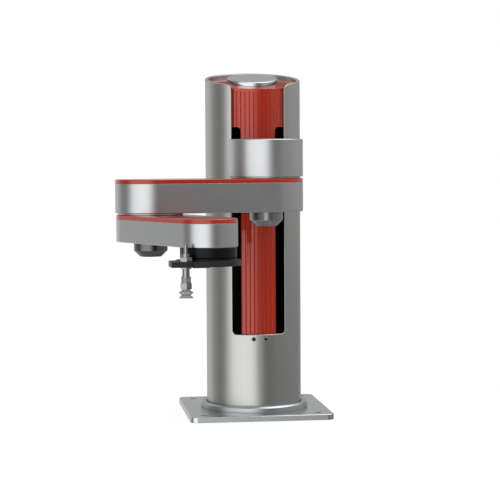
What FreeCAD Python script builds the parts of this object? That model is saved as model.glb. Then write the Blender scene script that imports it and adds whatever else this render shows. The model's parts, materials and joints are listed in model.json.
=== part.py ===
import FreeCAD, Part
import math
import os

# Small column robot: a slotted silver column on a square plate, a carriage that rides up and down
# a ball screw inside it, two swinging arms in front, and a sprung suction rod at the wrist.
# Millimetres. Origin: centre of the base plate's underside. Front is -Y, +Z is up.
# Rest pose is the pose of the photograph: arm angles are turned from -Y, positive towards +X.

# Base
PLATE_SIDE = 200.0
PLATE_THICK = 8.0
PLATE_CORNER_R = 10.0
PLATE_HOLE_SPACING = 160.0
PLATE_HOLE_D = 9.0
PLATE_EDGE_CHAMFER = 0.8
RING_HEIGHT = 8.5
RING_WIDTH = 8.2
RING_BEVEL = 2.4
RING_GAP = 0.8

# Column shell
COLUMN_R = 67.2
COLUMN_WALL = 5.0
TOP_MID_Z = 473.3
TOP_SLANT_DEG = 10.0
SLOT_WIDTH = 73.4
SLOT_BOTTOM_Z = 116.8
SLOT_CORNER_R = 5.0
SLOT_SHOULDER_R = 8.0
FRONT_SCREW_SPACING = 17.0
FRONT_SCREW_DROP = 6.4
FRONT_SCREW_HEAD_D = 6.0
FRONT_SCREW_HEAD_PROUD = 0.5
FRONT_SCREW_SEAT = 2.2
FRONT_SCREW_R = 1.5
FRONT_SCREW_LENGTH = 8.5
FRONT_SCREW_CLEAR = 0.2

# Fluted cover inside the slot
COVER_GAP = 0.4
COVER_WALL = 5.0
COVER_HALF_ANGLE = 52.0
COVER_STRIP_WIDTH = 48.0
NOTCH_CLEAR = 2.5
COVER_NOTCH_R = 4.6
COVER_TOP_RECESS = 4.9
COVER_TOP_THICK = 4.0
COVER_FOOT_DROP = 14.0
FLUTE_PITCH = 6.1
FLUTE_DEPTH = 0.9
FLUTE_GROOVE_WIDTH = 1.3
FLUTE_HALF_ANGLE = 40.0
CAP_DISC_R = 35.8
CAP_DISC_THICK = 6.7
CAP_DISC_TILT_DEG = 1.85
CAP_DISC_BEVEL = 0.9

# Inner frame, screw and rails
FLOOR_THICK = 12.0
MAST_WIDTH_SHARE = 1.254
MAST_THICK = 12.0
MAST_WALL_GAP = 1.893
MAST_TOP_DROP = 23.3
MAST_WINDOW_WIDTH = 26.0
BLOCK_THICK = 12.0
BLOCK_WIDTH = 44.0
BLOCK_REACH = 15.0
COUPLING_SPACE = 24.0
BEARING_OUTER_R = 11.0
BEARING_THICK = 8.0
RUN_CLEAR = 0.05
PRESS_GAP = 0.02
SCREW_R = 6.0
SCREW_END_R = 5.0
SCREW_LEAD = 10.0
SCREW_GROOVE = 0.9
SCREW_CORE_STEP = 5.0
COUPLING_R = 11.0
COUPLING_GRIP = 10.0
MOTOR_SIDE = 56.0
MOTOR_HEIGHT = 58.0
MOTOR_CORNER_R = 6.0
MOTOR_PILOT_R = 12.0
MOTOR_PILOT_H = 2.0
MOTOR_STUB_R = 4.0
RAIL_WIDTH = 12.0
RAIL_HEIGHT = 8.0
RAIL_X = 24.0
RAIL_CLEAR = 0.05
RAIL_BLOCK_WIDTH = 26.0
RAIL_BLOCK_DEPTH = 11.0
RAIL_BLOCK_LENGTH = 34.0
RAIL_BLOCK_FOOT = 2.0
BOARD_THICK = 1.6
BOARD_WIDTH = 52.0
BOARD_BOTTOM_Z = 140.0
BOARD_HEIGHT = 140.0
BOARD_STANDOFF = 3.0
SOCKET_Z = 48.0
SOCKET_SPACING = 40.0
POWER_SOCKET_R = 9.0
SIGNAL_SOCKET_R = 7.0
SOCKET_PROUD = 5.0
SOCKET_GAP = 0.1

# Carriage and first joint
J1_REACH = 138.3
DRUM_R = 49.6
DRUM_WALL = 4.0
DRUM_BOTTOM_Z = 337.3
DRUM_HEIGHT = 50.0
DRUM_BEVEL = 1.0
ARM_PLATE_THICK = 8.0
ARM_PLATE_CLEAR = 2.5
ARM_PLATE_MARGIN = 2.0
ARM_BOLT_R = 2.0
ARM_BOLT_HEAD_R = 3.5
ARM_BOLT_HEAD_H = 3.0
ARM_BOLT_LENGTH = 18.0
ARM_BOLT_SPACING = 28.0
CARRIAGE_WIDTH = 84.0
CARRIAGE_FRONT_Y = -22.0
NUT_R = 11.0
NUT_FLANGE_R = 18.0
NUT_FLANGE_THICK = 6.0
NUT_LENGTH = 36.0
NUT_CLEAR = 0.05
SLIDE_UP = 15.0

# Arms
UPPER_LENGTH = 160.0
UPPER_ANGLE = -79.7
ELBOW_R = 45.0
UPPER_TIP_R = 46.1
UPPER_BODY_H = 38.8
UPPER_COVER_H = 5.5
SHOULDER_GAP = 1.9
ELBOW_GAP = 2.2
BEARING_SET_BACK = 0.4
ARM_WALL = 4.0
ARM_EDGE_R = 1.2
COVER_RIB = 2.0
COVER_RIB_GAP = 0.2
FORE_LENGTH = 160.0
FORE_ANGLE = 22.5
FORE_TIP_R = 36.6
FORE_BODY_H = 29.7
FORE_COVER_H = 5.5
BOSS_R = 22.2
BOSS_HEIGHT = 19.8
BOSS_CHAMFER = 8.0
BOSS_EDGE = 0.8

# Joint shafts and drives
SHAFT_R = 12.0
SHAFT_BORE_R = 7.0
SHAFT_FLANGE_R = 22.0
SHAFT_FLANGE_H = 6.0
DRIVE_R = 32.0
DRIVE_GAP = 0.4
BEARING_RING = 12.0
SHAFT_END_GAP = 4.0
DRIVE_HEIGHT_J1 = 34.0
DRIVE_HEIGHT_J2 = 24.0

# Wrist
WRIST_BODY_R = 35.2
WRIST_BODY_H = 12.7
WRIST_SEAM = 0.6
FLANGE_THICK = 2.4
SPINDLE_R = 9.0
SPINDLE_BORE_R = 4.0
WRIST_PULLEY_R = 17.0
MOTOR_PULLEY_R = 8.5
PULLEY_TEETH_WRIST = 48
PULLEY_TEETH_MOTOR = 24
PULLEY_HEIGHT = 8.0
PULLEY_LIFT = 1.3
BELT_THICK = 1.2
BELT_HEIGHT = 6.0
BELT_GAP = 0.3
WRIST_MOTOR_R = 17.0
WRIST_MOTOR_H = 12.0
WRIST_MOTOR_BACK = 66.0
MOTOR_SHAFT_R = 2.5

# Tool bracket
BRACKET_THICK = 7.0
BRACKET_DISC_R = 40.2
BRACKET_ANGLE = 2.0
BRACKET_LEFT = 50.6
ROD_TO_EDGE = 8.0
BRACKET_STEP_X = 25.7
BRACKET_RIGHT = 5.0
BRACKET_RIGHT_FRONT = 52.0
BRACKET_CORNER = 2.4
ROD_SIDE = 32.1
ROD_FORWARD = 32.8
BRACKET_SCREW_PCD_R = 25.0
BRACKET_HOLE_R = 2.1

# Suction rod, heights from the top down
TUBE_R = 2.65
TUBE_BORE_R = 1.4
TUBE_RISE = 10.4
COLLAR_R = 5.2
COLLAR_HEIGHT = 4.4
UPPER_NUT_FLATS = 14.0
UPPER_NUT_HEIGHT = 5.2
LOWER_NUT_FLATS = 12.6
LOWER_NUT_HEIGHT = 1.8
SLEEVE_R = 4.55
SLEEVE_BELOW = 12.1
SLEEVE_BORE_CLEAR = 0.07
KNURL_R = 6.0
KNURL_LAP = 0.8
KNURL_HEIGHT = 7.8
KNURL_BORE_CLEAR = 0.1
KNURL_RIDGES = 24
KNURL_DEPTH = 0.35
HEX_FLATS = 13.0
HEX_HEIGHT = 7.4
HEX_CHAMFER = 0.6
HEX_TURN_DEG = -28.0
SPRING_WIRE_R = 0.35
SPRING_TURNS = 3.0
SPRING_CLEAR = 0.15
CUP_NECK_R = 5.0
CUP_NECK_HEIGHT = 1.6
CUP_R = 9.0
CUP_WAIST_R = 5.5
CUP_STEP_H = 2.5
CUP_WAIST_DROP = 3.3
CUP_LIP_DROP = 3.3
CUP_WALL = 1.1

# Column heights and radii worked out from the sizes above
TOP_OF_PLATE = PLATE_THICK
FLOOR_TOP = PLATE_THICK + FLOOR_THICK
MOTOR_TOP = FLOOR_TOP + MOTOR_HEIGHT
LOWER_BLOCK_Z = MOTOR_TOP + MOTOR_PILOT_H + COUPLING_SPACE
MAST_TOP_Z = TOP_MID_Z - MAST_TOP_DROP
UPPER_BLOCK_Z = MAST_TOP_Z - BLOCK_THICK
COLUMN_INNER_R = COLUMN_R - COLUMN_WALL
COVER_R = COLUMN_INNER_R - COVER_GAP
MAST_WIDTH = MAST_WIDTH_SHARE * COLUMN_INNER_R
MAST_BACK_Y = math.sqrt((COLUMN_INNER_R - MAST_WALL_GAP) ** 2 - (MAST_WIDTH / 2) ** 2)
MAST_FRONT_Y = MAST_BACK_Y - MAST_THICK
DRUM_TOP_Z = DRUM_BOTTOM_Z + DRUM_HEIGHT
COVER_NOTCH_Z = DRUM_TOP_Z + SLIDE_UP + NOTCH_CLEAR
ARM_PLATE_X = COVER_STRIP_WIDTH / 2 + ARM_PLATE_CLEAR

# Arm and tool heights, stacked down from the drum
UPPER_TOP_Z = DRUM_BOTTOM_Z - SHOULDER_GAP
UPPER_COVER_Z = UPPER_TOP_Z - UPPER_COVER_H
UPPER_BOTTOM_Z = UPPER_COVER_Z - UPPER_BODY_H
FORE_TOP_Z = UPPER_BOTTOM_Z - ELBOW_GAP
FORE_COVER_Z = FORE_TOP_Z - FORE_COVER_H
FORE_BOTTOM_Z = FORE_COVER_Z - FORE_BODY_H
WRIST_BODY_BOTTOM_Z = FORE_BOTTOM_Z - WRIST_BODY_H
FLANGE_TOP_Z = WRIST_BODY_BOTTOM_Z - WRIST_SEAM
FLANGE_BOTTOM_Z = FLANGE_TOP_Z - FLANGE_THICK
BRACKET_BOTTOM_Z = FLANGE_BOTTOM_Z - BRACKET_THICK
PULLEY_Z = FORE_BOTTOM_Z + ARM_WALL + WRIST_MOTOR_H + PULLEY_LIFT
COLLAR_Z = FLANGE_BOTTOM_Z + UPPER_NUT_HEIGHT
TUBE_TOP_Z = COLLAR_Z + COLLAR_HEIGHT + TUBE_RISE
SLEEVE_BOTTOM_Z = BRACKET_BOTTOM_Z - SLEEVE_BELOW
KNURL_TOP_Z = SLEEVE_BOTTOM_Z + KNURL_LAP
HEX_TOP_Z = KNURL_TOP_Z - KNURL_HEIGHT
CUP_TOP_Z = HEX_TOP_Z - HEX_HEIGHT
JOINT_BEARING_R = SHAFT_R + BEARING_RING

# Spare holes in the bracket, from the wrist's axis: one in each step of its front edge
BRACKET_HOLES = (
    (-(BRACKET_STEP_X + BRACKET_RIGHT) / 2, -(BRACKET_RIGHT_FRONT - ROD_TO_EDGE)),
    (-(BRACKET_LEFT - ROD_TO_EDGE - 3.0), -(ROD_FORWARD - 15.0)),
)

# Joint axes
J1_AT = (0.0, -J1_REACH)


def step_from(point, angle_deg, length):
    angle = math.radians(angle_deg)
    return (point[0] + length * math.sin(angle), point[1] - length * math.cos(angle))


J2_AT = step_from(J1_AT, UPPER_ANGLE, UPPER_LENGTH)
J3_AT = step_from(J2_AT, FORE_ANGLE, FORE_LENGTH)
ROD_AT = step_from(step_from(J3_AT, BRACKET_ANGLE, ROD_FORWARD), BRACKET_ANGLE - 90.0, ROD_SIDE)
MOTOR_PULLEY_AT = step_from(J3_AT, FORE_ANGLE + 180.0, WRIST_MOTOR_BACK)


def vec(x, y, z=0.0):
    return FreeCAD.Vector(x, y, z)


def cylinder(at, radius, z0, z1):
    return Part.makeCylinder(radius, z1 - z0, vec(at[0], at[1], z0))


def ring(at, outer_r, inner_r, z0, z1):
    return cylinder(at, outer_r, z0, z1).cut(cylinder(at, inner_r, z0 - 1, z1 + 1))


def box(x0, x1, y0, y1, z0, z1):
    return Part.makeBox(x1 - x0, y1 - y0, z1 - z0, vec(x0, y0, z0))


def edges_where(shape, test):
    return [edge for edge in shape.Edges if test(edge)]


def edge_ends(edge):
    return edge.Vertexes[0].Point, edge.Vertexes[-1].Point


def upright(edge):
    start, end = edge_ends(edge)
    return abs(start.x - end.x) < 1e-4 and abs(start.y - end.y) < 1e-4 and abs(start.z - end.z) > 1e-3


def level_at(z):
    def test(edge):
        bounds = edge.BoundBox
        return abs(bounds.ZMin - z) < 1e-4 and abs(bounds.ZMax - z) < 1e-4
    return test


def end_edges(shape, z0, z1):
    return edges_where(shape, lambda e: level_at(z0)(e) or level_at(z1)(e))


def extrude(points, z0, z1):
    wire = Part.makePolygon([vec(x, y, z0) for x, y in points] + [vec(points[0][0], points[0][1], z0)])
    return Part.Face(wire).extrude(vec(0, 0, z1 - z0))


def revolve(points, at=(0.0, 0.0)):
    """Turn an outline of (radius, height) points about the upright axis through at."""
    outline = [vec(r, 0, z) for r, z in points]
    face = Part.Face(Part.makePolygon(outline + [outline[0]]))
    solid = face.revolve(vec(0, 0, 0), vec(0, 0, 1), 360)
    solid.translate(vec(at[0], at[1], 0))
    return solid


def hexagon(at, across_flats, z0, z1, turn_deg=0.0):
    radius = across_flats / math.sqrt(3)
    points = []
    for side in range(6):
        angle = math.radians(turn_deg + 60 * side)
        points.append((at[0] + radius * math.cos(angle), at[1] + radius * math.sin(angle)))
    return extrude(points, z0, z1)


def polar(radius, angle_deg):
    angle = math.radians(angle_deg)
    return (radius * math.cos(angle), radius * math.sin(angle))


def arc_edge(radius, a0, a1, z, at_x=0.0):
    points = []
    for angle in (a0, (a0 + a1) / 2, a1):
        x, y = polar(radius, angle)
        points.append(vec(at_x + x, y, z))
    return Part.Arc(points[0], points[1], points[2]).toShape()


def arm_prism(root_r, tip_r, length, z0, z1, at, angle_deg):
    """Two round ends joined by their outer tangents, laid along +X, then turned to its heading."""
    lean = math.degrees(math.acos((root_r - tip_r) / length))
    root_arc = arc_edge(root_r, lean, 360 - lean, z0)
    tip_arc = arc_edge(tip_r, -lean, lean, z0, length)
    root_low, root_high = polar(root_r, -lean), polar(root_r, lean)
    tip_low, tip_high = polar(tip_r, -lean), polar(tip_r, lean)
    low = Part.makeLine(vec(root_low[0], root_low[1], z0), vec(length + tip_low[0], tip_low[1], z0))
    high = Part.makeLine(vec(length + tip_high[0], tip_high[1], z0), vec(root_high[0], root_high[1], z0))
    face = Part.Face(Part.Wire(Part.__sortEdges__([root_arc, low, tip_arc, high])))
    solid = face.extrude(vec(0, 0, z1 - z0))
    solid.rotate(vec(0, 0, 0), vec(0, 0, 1), angle_deg - 90)
    solid.translate(vec(at[0], at[1], 0))
    return solid


def above_slant(offset=0.0):
    """Everything above the column's slanted top plane, raised or lowered by offset."""
    block = box(-150, 150, -150, 150, 0, 150)
    block.rotate(vec(0, 0, 0), vec(1, 0, 0), TOP_SLANT_DEG)
    block.translate(vec(0, 0, TOP_MID_Z + offset))
    return block


def front_screw_places():
    z = SLOT_BOTTOM_Z - FRONT_SCREW_DROP
    return [(side * FRONT_SCREW_SPACING / 2, z) for side in (-1, 1)]


def socket_places():
    return [(-SOCKET_SPACING / 2, POWER_SOCKET_R), (SOCKET_SPACING / 2, SIGNAL_SOCKET_R)]


def bolt_circle(at, radius, count, start_deg=45.0):
    places = []
    for index in range(count):
        x, y = polar(radius, start_deg + 360.0 * index / count)
        places.append((at[0] + x, at[1] + y))
    return places


# Base group
BASE_SCREW_R = 3.0
BASE_SCREW_HEAD_R = 5.5
BASE_SCREW_HEAD_H = 3.4
BASE_SCREW_CIRCLE_R = 50.0
SCREW_HOLE_CLEAR = 0.15


def base_screw_outline(grow):
    shank = BASE_SCREW_R + grow
    head = BASE_SCREW_HEAD_R + grow
    top = TOP_OF_PLATE + FLOOR_THICK * 0.7
    return [(0, 0.4), (head, 0.4), (head, 1.0), (shank, 1.0 + BASE_SCREW_HEAD_H), (shank, top), (0, top)]


def base_screws(grow=0.0):
    screws = []
    for place in bolt_circle((0, 0), BASE_SCREW_CIRCLE_R, 4):
        screw = revolve(base_screw_outline(grow), place)
        if grow == 0.0:
            screw = screw.cut(hexagon(place, 4.0, 0, 3.0))
        else:
            screw = screw.fuse(cylinder(place, BASE_SCREW_HEAD_R + grow, -1, 0.5))
        screws.append(screw)
    return screws


def base_plate():
    half = PLATE_SIDE / 2
    plate = box(-half, half, -half, half, 0, PLATE_THICK)
    plate = plate.makeFillet(PLATE_CORNER_R, edges_where(plate, upright))
    plate = plate.makeChamfer(PLATE_EDGE_CHAMFER, edges_where(plate, level_at(PLATE_THICK)))
    for sx in (-1, 1):
        for sy in (-1, 1):
            at = (sx * PLATE_HOLE_SPACING / 2, sy * PLATE_HOLE_SPACING / 2)
            plate = plate.cut(cylinder(at, PLATE_HOLE_D / 2, -1, PLATE_THICK + 1))
    for hole in base_screws(SCREW_HOLE_CLEAR):
        plate = plate.cut(hole)
    return plate


def foot_ring():
    inner = COLUMN_R + RING_GAP
    outer = inner + RING_WIDTH
    top = TOP_OF_PLATE + RING_HEIGHT
    outline = [(inner, TOP_OF_PLATE), (outer, TOP_OF_PLATE), (outer, top - RING_BEVEL),
               (outer - RING_BEVEL, top), (inner + 0.6, top), (inner, top - 0.6)]
    return revolve(outline)


def column_floor():
    floor = cylinder((0, 0), COLUMN_INNER_R - 0.1, TOP_OF_PLATE, FLOOR_TOP)
    for hole in base_screws(SCREW_HOLE_CLEAR):
        floor = floor.cut(hole)
    return floor


def shoulder_cutter(side):
    """What is cut away to round the corner between a side of the slot and the slanted top."""
    radius = SLOT_SHOULDER_R
    edge = SLOT_WIDTH / 2
    x0, x1 = sorted((side * (edge - 1), side * (edge + radius)))
    block = box(x0, x1, -COLUMN_R - 20, 0, -radius, 5)
    round_end = Part.makeCylinder(radius, COLUMN_R + 20,
                                  vec(side * (edge + radius), -COLUMN_R - 20, -radius), vec(0, 1, 0))
    block = block.cut(round_end)
    block.rotate(vec(0, 0, 0), vec(1, 0, 0), TOP_SLANT_DEG)
    block.translate(vec(0, 0, TOP_MID_Z))
    return block


def column_shell():
    rim_z = TOP_MID_Z + COLUMN_R / 2
    shell = ring((0, 0), COLUMN_R, COLUMN_INNER_R, TOP_OF_PLATE, rim_z)
    half = SLOT_WIDTH / 2
    slot = box(-half, half, -2 * COLUMN_R, 0, SLOT_BOTTOM_Z, rim_z + COLUMN_WALL)
    slot = slot.makeFillet(SLOT_CORNER_R, edges_where(
        slot, lambda e: e.BoundBox.ZMax < SLOT_BOTTOM_Z + 1 and e.BoundBox.XLength < 1))
    shell = shell.cut(slot).cut(above_slant())
    for side in (-1, 1):
        shell = shell.cut(shoulder_cutter(side))
    for x, z in front_screw_places():
        outside_y = -COLUMN_R - COLUMN_WALL
        seat_depth = COLUMN_WALL + FRONT_SCREW_SEAT
        hole_r = FRONT_SCREW_R + FRONT_SCREW_CLEAR
        seat_r = FRONT_SCREW_HEAD_D / 2 + FRONT_SCREW_CLEAR
        hole = Part.makeCylinder(hole_r, 3 * COLUMN_WALL, vec(x, outside_y, z), vec(0, 1, 0))
        seat = Part.makeCylinder(seat_r, seat_depth, vec(x, outside_y, z), vec(0, 1, 0))
        shell = shell.cut(hole).cut(seat)
    for x, radius in socket_places():
        opening = Part.makeCylinder(radius + SOCKET_GAP, 2 * COLUMN_R, vec(x, 0, SOCKET_Z), vec(0, 1, 0))
        shell = shell.cut(opening)
    return shell


def front_screws():
    """Two socket screws below the slot that hold the foot of the fluted cover."""
    screws = []
    for x, z in front_screw_places():
        surface_y = -math.sqrt(COLUMN_R ** 2 - x ** 2)
        head_y = surface_y - FRONT_SCREW_HEAD_PROUD
        seat_y = -COLUMN_R + FRONT_SCREW_SEAT
        head = Part.makeCylinder(FRONT_SCREW_HEAD_D / 2, seat_y - head_y, vec(x, head_y, z), vec(0, 1, 0))
        shank = Part.makeCylinder(FRONT_SCREW_R, FRONT_SCREW_LENGTH, vec(x, seat_y, z), vec(0, 1, 0))
        socket = Part.makeCylinder(1.4, 1.6, vec(x, head_y - 0.1, z), vec(0, 1, 0))
        screws.append(head.fuse(shank).cut(socket))
    return screws


# Fluted cover
def fluted_wall(z0, z1):
    """Front wall of the cover: a sector of tube whose face is cut into narrow upright ribs."""
    inner_r = COVER_R - COVER_WALL
    pitch = math.degrees(FLUTE_PITCH / COVER_R)
    half_groove = math.degrees(FLUTE_GROOVE_WIDTH / 2 / COVER_R)
    count = int(FLUTE_HALF_ANGLE / pitch)
    front = -90.0
    edges = []
    angle = front - COVER_HALF_ANGLE
    for index in range(-count, count + 1):
        groove = front + index * pitch
        edges.append(arc_edge(COVER_R, angle, groove - half_groove, z0))
        lip_a = polar(COVER_R, groove - half_groove)
        foot = polar(COVER_R - FLUTE_DEPTH, groove)
        lip_b = polar(COVER_R, groove + half_groove)
        edges.append(Part.makeLine(vec(lip_a[0], lip_a[1], z0), vec(foot[0], foot[1], z0)))
        edges.append(Part.makeLine(vec(foot[0], foot[1], z0), vec(lip_b[0], lip_b[1], z0)))
        angle = groove + half_groove
    edges.append(arc_edge(COVER_R, angle, front + COVER_HALF_ANGLE, z0))
    ends = [front - COVER_HALF_ANGLE, front + COVER_HALF_ANGLE]
    for end in ends:
        outer, inner = polar(COVER_R, end), polar(inner_r, end)
        edges.append(Part.makeLine(vec(outer[0], outer[1], z0), vec(inner[0], inner[1], z0)))
    edges.append(arc_edge(inner_r, ends[0], ends[1], z0))
    face = Part.Face(Part.Wire(Part.__sortEdges__(edges)))
    return face.extrude(vec(0, 0, z1 - z0))


def column_cover():
    foot_z = SLOT_BOTTOM_Z - COVER_FOOT_DROP
    cover = fluted_wall(foot_z, TOP_MID_Z + 30)
    cap = cylinder((0, 0), COVER_R, TOP_MID_Z - 40, TOP_MID_Z + 30)
    cap = cap.cut(above_slant(-COVER_TOP_RECESS))
    cap = cap.common(above_slant(-COVER_TOP_RECESS - COVER_TOP_THICK))
    cover = cover.cut(above_slant(-COVER_TOP_RECESS)).fuse(cap)
    half = COVER_STRIP_WIDTH / 2
    for side in (-1, 1):
        near, far = side * half, side * (COLUMN_R + 5)
        notch = box(min(near, far), max(near, far), -COLUMN_R - 5, 5, foot_z - 5, COVER_NOTCH_Z)
        rounded = edges_where(notch, lambda e, near=near: abs(e.BoundBox.XMin - near) < 1e-6
                              and abs(e.BoundBox.XMax - near) < 1e-6
                              and e.BoundBox.ZMin > COVER_NOTCH_Z - 1)
        cover = cover.cut(notch.makeFillet(COVER_NOTCH_R, rounded))
    for x, z in front_screw_places():
        cover = cover.cut(Part.makeCylinder(1.55, 20, vec(x, -COLUMN_R, z), vec(0, 1, 0)))
    return cover.removeSplitter()


def cap_disc():
    """Upright metal disc on the cover, cut by a plane that leans a little more than the cover's own."""
    low = TOP_MID_Z - COVER_TOP_RECESS
    reach = 2 * CAP_DISC_R
    above = box(-reach, reach, -reach, reach, 0, reach)
    above.rotate(vec(0, 0, 0), vec(1, 0, 0), TOP_SLANT_DEG + CAP_DISC_TILT_DEG)
    above.translate(vec(0, 0, low + CAP_DISC_THICK))
    disc = cylinder((0, 0), CAP_DISC_R, low - reach / 2, low + reach / 2)
    disc = disc.common(above_slant(-COVER_TOP_RECESS)).cut(above)
    middle = low + CAP_DISC_THICK / 2
    rim = edges_where(disc, lambda e: e.BoundBox.XLength > CAP_DISC_R and e.BoundBox.Center.z > middle)
    return disc.makeChamfer(CAP_DISC_BEVEL, rim)


# Inner frame
def mast():
    half = MAST_WIDTH / 2
    plate = box(-half, half, MAST_FRONT_Y, MAST_FRONT_Y + MAST_THICK, FLOOR_TOP, MAST_TOP_Z)
    limit = cylinder((0, 0), COLUMN_INNER_R - 0.3, FLOOR_TOP, MAST_TOP_Z)
    plate = plate.common(limit)
    window_half = MAST_WINDOW_WIDTH / 2
    for z0, z1 in ((LOWER_BLOCK_Z + 30, 270.0), (290.0, MAST_TOP_Z - 34)):
        window = box(-window_half, window_half, 0, COLUMN_R, z0, z1)
        plate = plate.cut(window.makeFillet(8, edges_where(window, lambda e: e.BoundBox.YLength > 1)))
    return plate


def bearing_block(z0):
    """Block that reaches forward from the mast and carries one end of the screw."""
    half = BLOCK_WIDTH / 2
    block = box(-half, half, -BLOCK_REACH, MAST_FRONT_Y, z0, z0 + BLOCK_THICK)
    front = edges_where(block, lambda e: upright(e) and e.BoundBox.YMax < 0)
    block = block.makeFillet(10, front)
    return block.cut(cylinder((0, 0), BEARING_OUTER_R + PRESS_GAP, z0 - 1, z0 + BLOCK_THICK + 1))


def screw_bearings():
    bearings = []
    for z0 in (LOWER_BLOCK_Z, UPPER_BLOCK_Z):
        low = z0 + (BLOCK_THICK - BEARING_THICK) / 2
        bearings.append(ring((0, 0), BEARING_OUTER_R, SCREW_END_R + RUN_CLEAR, low, low + BEARING_THICK))
    return bearings


def ball_screw():
    """Shaft with plain bearing ends and a grooved middle; the grooves stand for the ball track."""
    low_block_top = LOWER_BLOCK_Z + BLOCK_THICK
    thread_low, thread_high = low_block_top + 2, UPPER_BLOCK_Z - 2
    bottom = LOWER_BLOCK_Z - COUPLING_GRIP - 2
    points = [(0, bottom), (SCREW_END_R, bottom), (SCREW_END_R, thread_low), (SCREW_R, thread_low)]
    z = thread_low + SCREW_CORE_STEP
    while z + SCREW_CORE_STEP < thread_high:
        points += [(SCREW_R, z), (SCREW_R - SCREW_GROOVE, z + SCREW_GROOVE), (SCREW_R, z + 2 * SCREW_GROOVE)]
        z += SCREW_LEAD
    points += [(SCREW_R, thread_high), (SCREW_END_R, thread_high)]
    points += [(SCREW_END_R, MAST_TOP_Z - 1), (0, MAST_TOP_Z - 1)]
    return revolve(points)


def shaft_coupling():
    z1 = LOWER_BLOCK_Z - 2
    z0 = MOTOR_TOP + MOTOR_PILOT_H + 1
    body = cylinder((0, 0), COUPLING_R, z0, z1)
    body = body.cut(cylinder((0, 0), SCREW_END_R, z1 - COUPLING_GRIP, z1 + 1))
    mid = (z0 + z1) / 2
    for z, turn in ((mid - 3, 0), (mid + 3, 90)):
        slit = box(-COUPLING_R - 1, COUPLING_R - 4, -COUPLING_R - 1, COUPLING_R + 1, z - 0.5, z + 0.5)
        slit.rotate(vec(0, 0, 0), vec(0, 0, 1), turn)
        body = body.cut(slit)
    return body.fuse(cylinder((0, 0), MOTOR_STUB_R, MOTOR_TOP - 6, z0))


def z_motor():
    half = MOTOR_SIDE / 2
    top = MOTOR_TOP
    body = box(-half, half, -half, half, FLOOR_TOP, top)
    body = body.makeFillet(MOTOR_CORNER_R, edges_where(body, upright))
    body = body.fuse(cylinder((0, 0), MOTOR_PILOT_R, top, top + MOTOR_PILOT_H))
    for z in (FLOOR_TOP + 10, top - 10):
        body = body.cut(box(-half - 1, half + 1, -half - 1, half + 1, z - 0.6, z + 0.6).cut(
            box(-half + 1, half - 1, -half + 1, half - 1, z - 1, z + 1)))
    return body.cut(cylinder((0, 0), MOTOR_STUB_R + RUN_CLEAR, top - 7, top + 5))


def guide_rail(side):
    x = side * RAIL_X
    half = RAIL_WIDTH / 2
    y = MAST_FRONT_Y
    waist = half - 1.5
    points = [(x - half, y), (x - half, y - 2.5), (x - waist, y - 3.5), (x - half, y - 5.0),
              (x - half, y - RAIL_HEIGHT), (x + half, y - RAIL_HEIGHT), (x + half, y - 5.0),
              (x + waist, y - 3.5), (x + half, y - 2.5), (x + half, y)]
    return extrude(points, LOWER_BLOCK_Z + BLOCK_THICK + 2, UPPER_BLOCK_Z - 2)


def controller_board():
    y = MAST_FRONT_Y + MAST_THICK + BOARD_STANDOFF
    half = BOARD_WIDTH / 2
    return box(-half, half, y, y + BOARD_THICK, BOARD_BOTTOM_Z, BOARD_BOTTOM_Z + BOARD_HEIGHT)


def board_standoffs():
    y = MAST_FRONT_Y + MAST_THICK
    posts = []
    for x in (-BOARD_WIDTH / 2 + 5, BOARD_WIDTH / 2 - 5):
        for z in (BOARD_BOTTOM_Z + 5, BOARD_BOTTOM_Z + BOARD_HEIGHT - 5):
            posts.append(Part.makeCylinder(2.5, BOARD_STANDOFF, vec(x, y, z), vec(0, 1, 0)))
    return posts


def rear_socket(x, radius):
    surface_y = math.sqrt(COLUMN_R ** 2 - (abs(x) - radius) ** 2)
    front = COLUMN_INNER_R - 8
    body = Part.makeCylinder(radius, surface_y + SOCKET_PROUD - front, vec(x, front, SOCKET_Z), vec(0, 1, 0))
    bore_y = surface_y + SOCKET_PROUD - 7
    body = body.cut(Part.makeCylinder(radius - 1.6, 20, vec(x, bore_y, SOCKET_Z), vec(0, 1, 0)))
    pins = []
    for px, pz in bolt_circle((x, SOCKET_Z), radius * 0.45, 4):
        pins.append(Part.makeCylinder(0.7, 5.5, vec(px, bore_y - 0.5, pz), vec(0, 1, 0)))
    return body.multiFuse(pins)


# Carriage
def rail_block_place():
    """Rear and front Y of the blocks that ride the rails, and the face the carriage bolts to."""
    rear = MAST_FRONT_Y - RAIL_BLOCK_FOOT
    return rear, rear - RAIL_BLOCK_DEPTH


def rail_block(side):
    rear, front = rail_block_place()
    low, high = DRUM_BOTTOM_Z, DRUM_TOP_Z
    mid = (low + high) / 2
    x = side * RAIL_X
    half = RAIL_BLOCK_WIDTH / 2
    block = box(x - half, x + half, front, rear, mid - RAIL_BLOCK_LENGTH / 2, mid + RAIL_BLOCK_LENGTH / 2)
    gap = RAIL_WIDTH / 2 + RAIL_CLEAR
    channel_y = MAST_FRONT_Y - RAIL_HEIGHT - RAIL_CLEAR
    block = block.cut(box(x - gap, x + gap, channel_y, rear + 1, low - 5, high + 5))
    return block.common(cylinder((0, 0), COLUMN_INNER_R - 1.0, low, high))


def nut_screw_places():
    return bolt_circle((0, 0), NUT_FLANGE_R - 3.5, 6, 0)


def carriage_block():
    low, high = DRUM_BOTTOM_Z, DRUM_TOP_Z
    rear = rail_block_place()[1]
    half = CARRIAGE_WIDTH / 2
    block = box(-half, half, CARRIAGE_FRONT_Y, rear, low, high)
    block = block.common(cylinder((0, 0), COLUMN_INNER_R - 2.0, low, high))
    block = block.cut(cylinder((0, 0), NUT_R + 0.1, low - 1, high + 1))
    for side in (-1, 1):
        pocket = box(side * 31 - 6, side * 31 + 6, -8, rear + 1, low + 10, high - 10)
        block = block.cut(pocket.makeFillet(3, edges_where(pocket, lambda e: e.BoundBox.YLength > 1)))
    return block


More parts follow.
